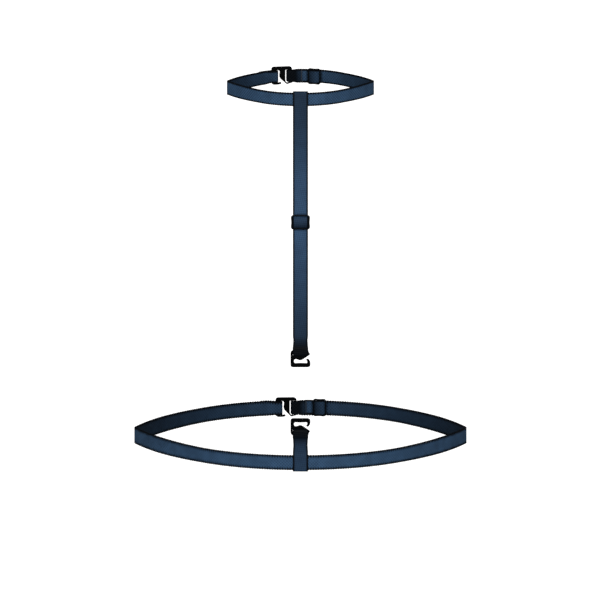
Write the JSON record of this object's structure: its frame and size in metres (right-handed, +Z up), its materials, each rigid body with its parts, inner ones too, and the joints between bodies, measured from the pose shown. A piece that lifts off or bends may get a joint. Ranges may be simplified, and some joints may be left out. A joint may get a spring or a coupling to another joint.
{
  "type": "elastic body harness",
  "caption": "Two-part elastic body harness: a neck loop with a hanging centre strap and a waist loop with a standing tab, closed by swan hooks and adjusted by sliders",
  "frame": {"origin": "centre of the neck opening, at mid height of the neck band", "axes": "+Z up, -Y the front, where the centre strap hangs, +X to the right of someone looking at the front"},
  "size_m": [0.2588, 0.2155, 0.3046],
  "materials": {
    "band_elastic": "satin knitted elastic, navy",
    "strap_elastic": "satin knitted elastic, navy",
    "thread": "polyester sewing thread, dark navy",
    "hook_moulding": "glossy black moulded hook",
    "slider_moulding": "glossy black moulded slider"
  },
  "bodies": {
    "neck_loop": {"neck_band": "band_elastic", "neck_eye_stitching": "thread", "neck_strap_wrap": "strap_elastic", "neck_wrap_stitching": "thread"},
    "neck_hook": {"neck_hook": "hook_moulding"},
    "neck_slider": {"neck_slider": "slider_moulding", "neck_slider_crossing": "band_elastic", "neck_end_ply": "band_elastic", "neck_end_seam": "thread"},
    "centre_strap": {"centre_strap": "strap_elastic"},
    "centre_slider": {"centre_slider": "slider_moulding", "centre_slider_crossing": "strap_elastic"},
    "centre_loop": {"centre_loop": "strap_elastic", "centre_loop_seam": "thread"},
    "centre_hook": {"centre_hook": "hook_moulding"},
    "waist_loop": {"waist_band": "band_elastic", "waist_eye_stitching": "thread", "tab_wrap": "strap_elastic", "tab_wrap_stitching": "thread"},
    "waist_hook": {"waist_hook": "hook_moulding"},
    "waist_slider": {"waist_slider": "slider_moulding", "waist_slider_crossing": "band_elastic", "waist_end_ply": "band_elastic", "waist_end_seam": "thread"},
    "tab": {"tab_strap": "strap_elastic"},
    "tab_hook": {"tab_hook": "hook_moulding"}
  },
  "joints": [
    {"name": "neck_hook_tilt", "type": "hinge", "parent": "neck_loop", "child": "neck_hook", "pos_m": [-0.00721, 0.04373, 0], "axis": [0, 0, 1], "range_deg": [-2, 2]},
    {"name": "neck_slider_travel", "type": "hinge", "parent": "neck_loop", "child": "neck_slider", "pos_m": [0, -0.0017, 0], "axis": [0, 0, -1], "range_deg": [-2.45, 24.54]},
    {"name": "centre_strap_swing", "type": "hinge", "parent": "neck_loop", "child": "centre_strap", "pos_m": [0, -0.0463, -0.0097], "axis": [-1, 0, 0], "range_deg": [-15, 60]},
    {"name": "centre_slider_slide", "type": "slide", "parent": "centre_strap", "child": "centre_slider", "axis": [0, 0, 1], "range_m": [-0.04, 0.06]},
    {"name": "centre_loop_slide", "type": "slide", "parent": "centre_strap", "child": "centre_loop", "axis": [0, 0, 1], "range_m": [-0.02, 0.03]},
    {"name": "centre_hook_swing", "type": "hinge", "parent": "centre_loop", "child": "centre_hook", "pos_m": [0, -0.0463, -0.20015], "axis": [-1, 0, 0], "range_deg": [-75, 75]},
    {"name": "waist_height", "type": "slide", "parent": "neck_loop", "child": "waist_loop", "axis": [0, 0, 1], "range_m": [-0.06, 0.03]},
    {"name": "waist_hook_tilt", "type": "hinge", "parent": "waist_loop", "child": "waist_hook", "pos_m": [-0.00373, 0.16124, -0.2896], "axis": [0, 0, 1], "range_deg": [-2, 2]},
    {"name": "waist_slider_travel", "type": "hinge", "parent": "waist_loop", "child": "waist_slider", "pos_m": [0, 0.0456, -0.2896], "axis": [0, 0, -1], "range_deg": [-0.98, 9.84]},
    {"name": "tab_swing", "type": "hinge", "parent": "waist_loop", "child": "tab", "pos_m": [0, -0.045, -0.2816], "axis": [1, 0, 0], "range_deg": [-35, 35], "stiffness_Nm_per_rad": 0.005},
    {"name": "tab_hook_swing", "type": "hinge", "parent": "tab", "child": "tab_hook", "pos_m": [0, -0.045, -0.26715], "axis": [1, 0, 0], "range_deg": [-60, 60]}
  ],
  "couplings": [
    {"joint": "centre_loop_slide", "follows": "centre_slider_slide", "ratio": 0.5}
  ]
}
